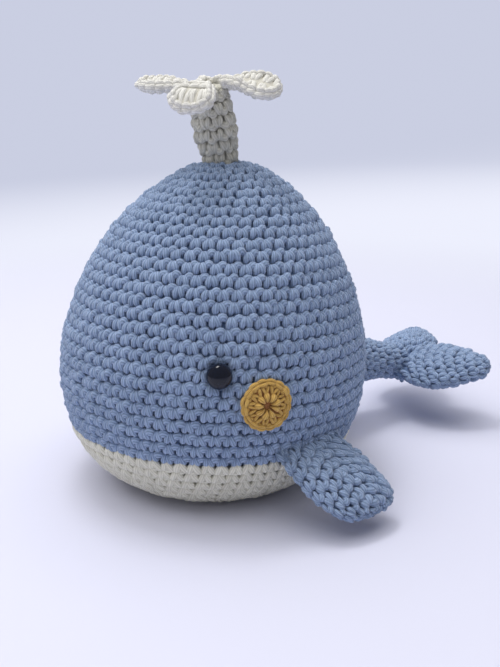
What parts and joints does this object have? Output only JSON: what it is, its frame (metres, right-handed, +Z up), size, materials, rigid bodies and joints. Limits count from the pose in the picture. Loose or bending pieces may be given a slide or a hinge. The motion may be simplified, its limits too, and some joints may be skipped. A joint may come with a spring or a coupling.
{
  "type": "plush whale",
  "caption": "Crocheted, stuffed toy whale: egg-shaped blue body on a cream belly, side fins, a tail with flukes, and a cream water spout with petals on top.",
  "frame": {"origin": "on the surface the whale stands on, at the centre of the belly's flat resting face", "axes": "+Z up, +Y from the nose towards the tail, +X towards the whale's left side"},
  "size_m": [0.1606, 0.1941, 0.1487],
  "materials": {
    "blue_yarn": "dusty denim-blue cotton yarn in single crochet",
    "cream_yarn": "off-white cotton yarn in single crochet",
    "mustard_yarn": "mustard cotton yarn in single crochet",
    "eye_plastic": "polished near-black plastic",
    "washer_plastic": "plain moulded white plastic",
    "stuffing": "white polyester fibre fill"
  },
  "bodies": {
    "body": {"body_cover": "blue_yarn", "belly_panel": "cream_yarn", "body_stuffing": "stuffing", "eye_left": "eye_plastic", "eye_right": "eye_plastic", "eye_washer_left": "washer_plastic", "eye_washer_right": "washer_plastic", "cheek_left": "mustard_yarn", "cheek_right": "mustard_yarn"},
    "fin_left": {"fin_left": "blue_yarn"},
    "fin_right": {"fin_right": "blue_yarn"},
    "tail": {"tail_stock": "blue_yarn", "tail_stuffing": "stuffing"},
    "fluke_left": {"fluke_left": "blue_yarn"},
    "fluke_right": {"fluke_right": "blue_yarn"},
    "spout": {"spout_stem": "cream_yarn", "spout_stuffing": "stuffing"},
    "petal_1": {"spout_petal_1": "cream_yarn"},
    "petal_2": {"spout_petal_2": "cream_yarn"},
    "petal_3": {"spout_petal_3": "cream_yarn"},
    "petal_4": {"spout_petal_4": "cream_yarn"}
  },
  "joints": [
    {"name": "fin_left_flap", "type": "hinge", "parent": "body", "child": "fin_left", "pos_m": [0.05545, 0.00007, 0.0256], "axis": [0, -1, 0], "range_deg": [-8, 45], "stiffness_Nm_per_rad": 0.02},
    {"name": "fin_right_flap", "type": "hinge", "parent": "body", "child": "fin_right", "pos_m": [-0.05545, 0.00007, 0.0256], "axis": [0, 1, 0], "range_deg": [-8, 45], "stiffness_Nm_per_rad": 0.02},
    {"name": "tail_sway", "type": "hinge", "parent": "body", "child": "tail", "pos_m": [0, 0.05669, 0.03], "axis": [0, 0, 1], "range_deg": [-12, 12], "stiffness_Nm_per_rad": 0.05},
    {"name": "fluke_left_flap", "type": "hinge", "parent": "tail", "child": "fluke_left", "pos_m": [0.01073, 0.101, 0.023], "axis": [0.9613, -0.2756, 0], "range_deg": [-10, 25], "stiffness_Nm_per_rad": 0.03},
    {"name": "fluke_right_flap", "type": "hinge", "parent": "tail", "child": "fluke_right", "pos_m": [0.00208, 0.10348, 0.023], "axis": [0.9613, -0.2756, 0], "range_deg": [-10, 25], "stiffness_Nm_per_rad": 0.03},
    {"name": "spout_tilt", "type": "hinge", "parent": "body", "child": "spout", "pos_m": [0, 0.0052, 0.1192], "axis": [1, 0, 0], "range_deg": [-12, 12], "stiffness_Nm_per_rad": 0.03},
    {"name": "petal_1_flex", "type": "hinge", "parent": "spout", "child": "petal_1", "pos_m": [-0.0056, -0.00367, 0.1441], "axis": [-0.5299, 0.848, 0], "range_deg": [-15, 25], "stiffness_Nm_per_rad": 0.005},
    {"name": "petal_2_flex", "type": "hinge", "parent": "spout", "child": "petal_2", "pos_m": [0.00406, -0.00534, 0.14375], "axis": [-0.788, -0.6157, 0], "range_deg": [-15, 25], "stiffness_Nm_per_rad": 0.005},
    {"name": "petal_3_flex", "type": "hinge", "parent": "spout", "child": "petal_3", "pos_m": [0.00506, 0.0039, 0.14571], "axis": [0.6428, -0.766, 0], "range_deg": [-15, 25], "stiffness_Nm_per_rad": 0.005},
    {"name": "petal_4_flex", "type": "hinge", "parent": "spout", "child": "petal_4", "pos_m": [-0.00458, 0.0044, 0.14582], "axis": [0.7193, 0.6947, 0], "range_deg": [-15, 25], "stiffness_Nm_per_rad": 0.005}
  ]
}
